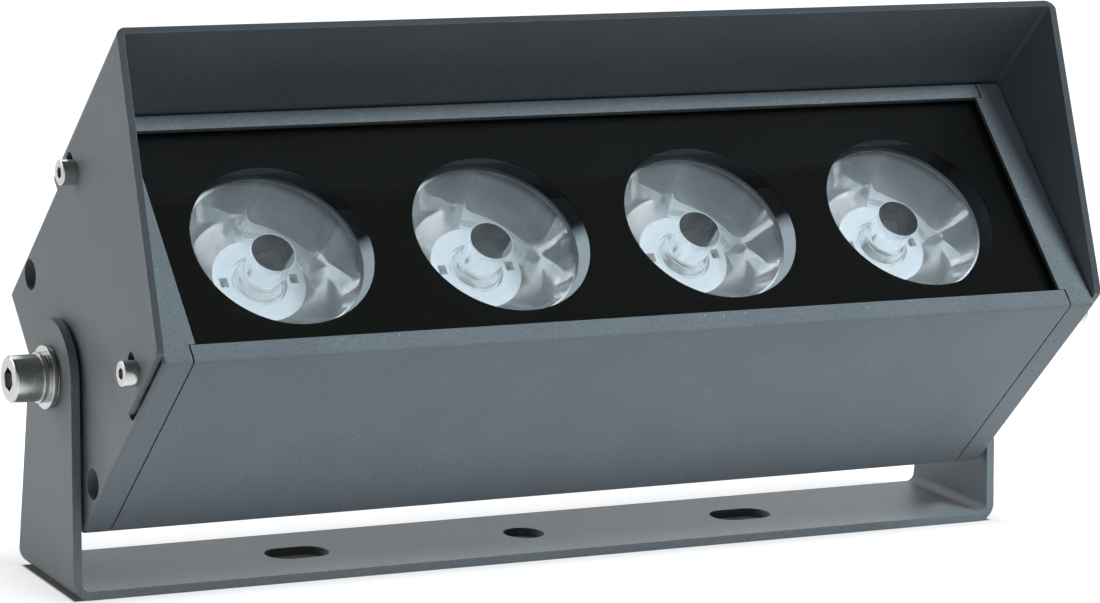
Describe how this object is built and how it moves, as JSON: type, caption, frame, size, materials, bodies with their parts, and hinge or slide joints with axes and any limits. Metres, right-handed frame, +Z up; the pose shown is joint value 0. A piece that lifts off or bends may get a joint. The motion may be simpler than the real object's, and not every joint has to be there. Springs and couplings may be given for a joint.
{
  "type": "led flood light",
  "caption": "Grey extruded LED flood light with large collimating lenses behind a dark pane, a folded visor and a tilting U-shaped yoke with a slotted base.",
  "frame": {"origin": "centre of the hole in the middle of the yoke's base, on the underside that sits on the mounting surface", "axes": "+X along the lamp to the viewer's right when facing its glass, +Y to the rear, away from the glass, +Z up from the base"},
  "size_m": [0.317, 0.1135, 0.1592],
  "materials": {
    "coated_aluminium": "fine-textured satin grey powder coat",
    "coated_steel": "fine-textured satin grey powder coat",
    "stainless": "bright turned stainless steel",
    "pane_glass": "clear toughened glass",
    "black_print": "opaque black",
    "lens_clear": "clear moulded acrylic",
    "white_plastic": "white moulded plastic",
    "led_emitter": "pale substrate with a phosphor disc",
    "coated_board": "grey-coated aluminium board",
    "driver_case": "light grey potted case",
    "silicone": "black silicone",
    "gland_polymer": "black polyamide",
    "washer_polymer": "dark friction washer"
  },
  "bodies": {
    "yoke": {"yoke": "coated_steel"},
    "head": {"housing": "coated_aluminium", "end_cap_left": "coated_aluminium", "end_cap_right": "coated_aluminium", "end_gasket_left": "silicone", "end_gasket_right": "silicone", "end_cap_screws": "stainless", "visor": "coated_aluminium", "visor_screws": "stainless", "glass_gasket": "silicone", "front_glass": "pane_glass", "window_mask": "black_print", "lens_1": "lens_clear", "lens_seat_1": "white_plastic", "led_1": "led_emitter", "lens_2": "lens_clear", "lens_seat_2": "white_plastic", "led_2": "led_emitter", "lens_3": "lens_clear", "lens_seat_3": "white_plastic", "led_3": "led_emitter", "lens_4": "lens_clear", "lens_seat_4": "white_plastic", "led_4": "led_emitter", "led_plate": "coated_board", "led_plate_screws": "stainless", "driver": "driver_case", "gland_body": "gland_polymer", "gland_lock_nut": "gland_polymer", "gland_seal": "silicone", "gland_dome": "gland_polymer", "pivot_bolts": "stainless", "pivot_spring_washers": "stainless", "pivot_flat_washers": "stainless", "pivot_collars": "stainless", "pivot_friction_washers": "washer_polymer", "pivot_inserts": "stainless"}
  },
  "joints": [
    {"name": "head_tilt", "type": "hinge", "parent": "yoke", "child": "head", "pos_m": [0, 0, 0.058], "axis": [1, 0, 0], "range_deg": [-80, 50]}
  ]
}
